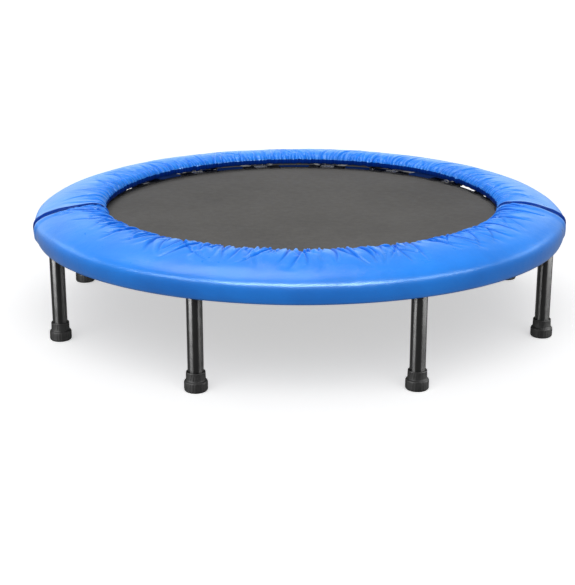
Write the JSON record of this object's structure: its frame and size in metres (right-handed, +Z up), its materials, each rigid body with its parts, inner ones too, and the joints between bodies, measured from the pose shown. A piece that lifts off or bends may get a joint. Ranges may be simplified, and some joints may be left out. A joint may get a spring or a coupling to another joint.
{
  "type": "mini trampoline",
  "caption": "Round mini trampoline with a sprung mat, a padded blue ring cover, a tube frame and short screw-on legs with rubber feet.",
  "frame": {"origin": "on the floor under the middle of the mat", "axes": "+Z up; -Y to the front; the cover's two seams lie 11 degrees in front of +X and -X"},
  "size_m": [0.951, 0.9512, 0.2155],
  "materials": {
    "frame_black": "black powder coat",
    "leg_black": "satin black enamel",
    "foot_rubber": "matt moulded rubber",
    "spring_steel": "zinc plated",
    "mat_weave": "woven dark grey-brown sheet",
    "cover_blue": "coated blue fabric, soft sheen",
    "pad_foam": "open foam"
  },
  "bodies": {
    "frame": {"frame_ring": "frame_black", "spring_01": "spring_steel", "spring_02": "spring_steel", "spring_03": "spring_steel", "spring_04": "spring_steel", "spring_05": "spring_steel", "spring_06": "spring_steel", "spring_07": "spring_steel", "spring_08": "spring_steel", "spring_09": "spring_steel", "spring_10": "spring_steel", "spring_11": "spring_steel", "spring_12": "spring_steel", "spring_13": "spring_steel", "spring_14": "spring_steel", "spring_15": "spring_steel", "spring_16": "spring_steel", "spring_17": "spring_steel", "spring_18": "spring_steel", "spring_19": "spring_steel", "spring_20": "spring_steel", "spring_21": "spring_steel", "spring_22": "spring_steel", "spring_23": "spring_steel", "spring_24": "spring_steel", "spring_25": "spring_steel", "spring_26": "spring_steel", "spring_27": "spring_steel", "spring_28": "spring_steel", "spring_29": "spring_steel", "spring_30": "spring_steel", "spring_31": "spring_steel", "spring_32": "spring_steel", "spring_33": "spring_steel", "spring_34": "spring_steel", "cover_front": "cover_blue", "cover_rear": "cover_blue", "foam_front": "pad_foam", "foam_rear": "pad_foam"},
    "mat": {"mat": "mat_weave"},
    "leg_1": {"leg_1": "leg_black", "foot_1": "foot_rubber"},
    "leg_2": {"leg_2": "leg_black", "foot_2": "foot_rubber"},
    "leg_3": {"leg_3": "leg_black", "foot_3": "foot_rubber"},
    "leg_4": {"leg_4": "leg_black", "foot_4": "foot_rubber"},
    "leg_5": {"leg_5": "leg_black", "foot_5": "foot_rubber"},
    "leg_6": {"leg_6": "leg_black", "foot_6": "foot_rubber"},
    "leg_7": {"leg_7": "leg_black", "foot_7": "foot_rubber"},
    "leg_8": {"leg_8": "leg_black", "foot_8": "foot_rubber"}
  },
  "joints": [
    {"name": "mat_bounce", "type": "slide", "parent": "frame", "child": "mat", "axis": [0, 0, 1], "range_m": [-0.08, 0], "stiffness_N_per_m": 12000, "deforming": ["spring_01", "spring_02", "spring_03", "spring_04", "spring_05", "spring_06", "spring_07", "spring_08", "spring_09", "spring_10", "spring_11", "spring_12", "spring_13", "spring_14", "spring_15", "spring_16", "spring_17", "spring_18", "spring_19", "spring_20", "spring_21", "spring_22", "spring_23", "spring_24", "spring_25", "spring_26", "spring_27", "spring_28", "spring_29", "spring_30", "spring_31", "spring_32", "spring_33", "spring_34"]},
    {"name": "leg_1_screw", "type": "hinge", "parent": "frame", "child": "leg_1", "pos_m": [0.41759, 0.17297, 0.1], "axis": [0, 0, 1], "continuous": true},
    {"name": "leg_2_screw", "type": "hinge", "parent": "frame", "child": "leg_2", "pos_m": [0.17297, 0.41759, 0.1], "axis": [0, 0, 1], "continuous": true},
    {"name": "leg_3_screw", "type": "hinge", "parent": "frame", "child": "leg_3", "pos_m": [-0.17297, 0.41759, 0.1], "axis": [0, 0, 1], "continuous": true},
    {"name": "leg_4_screw", "type": "hinge", "parent": "frame", "child": "leg_4", "pos_m": [-0.41759, 0.17297, 0.1], "axis": [0, 0, 1], "continuous": true},
    {"name": "leg_5_screw", "type": "hinge", "parent": "frame", "child": "leg_5", "pos_m": [-0.41759, -0.17297, 0.1], "axis": [0, 0, 1], "continuous": true},
    {"name": "leg_6_screw", "type": "hinge", "parent": "frame", "child": "leg_6", "pos_m": [-0.17297, -0.41759, 0.1], "axis": [0, 0, 1], "continuous": true},
    {"name": "leg_7_screw", "type": "hinge", "parent": "frame", "child": "leg_7", "pos_m": [0.17297, -0.41759, 0.1], "axis": [0, 0, 1], "continuous": true},
    {"name": "leg_8_screw", "type": "hinge", "parent": "frame", "child": "leg_8", "pos_m": [0.41759, -0.17297, 0.1], "axis": [0, 0, 1], "continuous": true}
  ]
}
